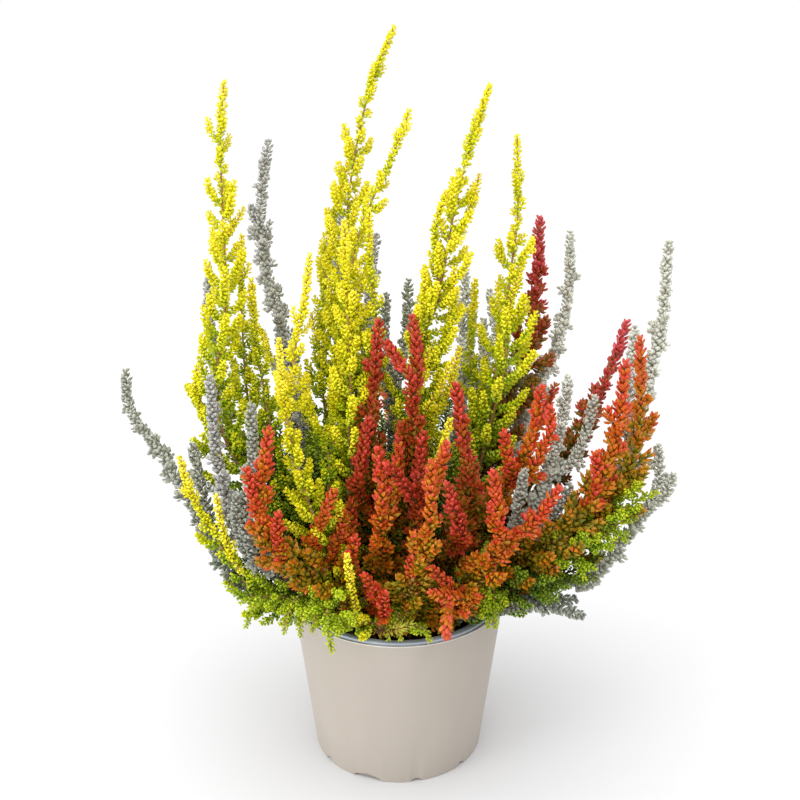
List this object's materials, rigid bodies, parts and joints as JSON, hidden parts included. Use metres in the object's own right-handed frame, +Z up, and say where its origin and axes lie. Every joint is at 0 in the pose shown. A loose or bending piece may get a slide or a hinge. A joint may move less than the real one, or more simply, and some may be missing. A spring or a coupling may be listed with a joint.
{
  "type": "potted heather",
  "caption": "Bush of upright leafy heather shoots in yellow, silver-grey and red, growing in a round tapered pot that stands on its own foot.",
  "frame": {"origin": "centre of the cover pot's flat foot, on the surface it stands on", "axes": "+Z up, -Y towards the front, +X to the right seen from the front"},
  "size_m": [0.3024, 0.1904, 0.399],
  "materials": {
    "cover_pot": "satin, warm beige",
    "grow_pot": "smooth, blue-grey",
    "soil": "crumbly dark peat",
    "yellow_leaves": "tiny matt leaves, yellow tips over yellow-green",
    "lime_leaves": "tiny matt leaves, lime green",
    "green_leaves": "tiny matt leaves, dark green",
    "silver_grey_leaves": "downy leaves, silver-grey",
    "red_leaves": "tiny matt leaves, crimson tips over orange and olive"
  },
  "bodies": {
    "root": {"cover_pot": "cover_pot", "grow_pot": "grow_pot", "soil": "soil", "yellow_tall_left": "yellow_leaves", "yellow_left_pair": "yellow_leaves", "yellow_bright_left": "yellow_leaves", "yellow_mid_left": "yellow_leaves", "yellow_back_left": "yellow_leaves", "yellow_tallest": "yellow_leaves", "yellow_arching": "yellow_leaves", "yellow_column": "yellow_leaves", "yellow_tall_right": "yellow_leaves", "yellow_bush_right": "yellow_leaves", "yellow_right": "yellow_leaves", "yellow_diagonal_left": "yellow_leaves", "yellow_front": "yellow_leaves", "yellow_rear_left": "yellow_leaves", "lime_low_right": "lime_leaves", "lime_left_outer": "lime_leaves", "lime_left_inner": "lime_leaves", "lime_left_rim": "lime_leaves", "lime_right_rim": "lime_leaves", "lime_front_sprigs": "lime_leaves", "lime_rear": "lime_leaves", "green_left": "green_leaves", "green_right_low": "green_leaves", "grey_far_left": "silver_grey_leaves", "grey_tall_left": "silver_grey_leaves", "grey_left_back": "silver_grey_leaves", "grey_mauve": "silver_grey_leaves", "grey_left_inner": "silver_grey_leaves", "grey_back_centre": "silver_grey_leaves", "grey_centre": "silver_grey_leaves", "grey_back_right": "silver_grey_leaves", "grey_tall_right": "silver_grey_leaves", "grey_far_right": "silver_grey_leaves", "grey_thick_right": "silver_grey_leaves", "grey_right_arm": "silver_grey_leaves", "grey_low_right": "silver_grey_leaves", "grey_green_right": "silver_grey_leaves", "grey_rear_left": "silver_grey_leaves", "grey_rear_right": "silver_grey_leaves", "red_front_left": "red_leaves", "red_dark_centre": "red_leaves", "red_slant_centre": "red_leaves", "red_dark_right": "red_leaves", "red_mid_pair": "red_leaves", "red_thin_pair": "red_leaves", "red_orange_front": "red_leaves", "red_orange_left": "red_leaves", "red_small_front": "red_leaves", "red_big_right": "red_leaves", "red_orange_right": "red_leaves", "red_narrow_right": "red_leaves", "red_front_right": "red_leaves", "red_fork_right": "red_leaves", "red_tall_far": "red_leaves", "red_lying_front": "red_leaves", "red_rear_centre": "red_leaves", "red_rear_right": "red_leaves"}
  },
  "joints": []
}
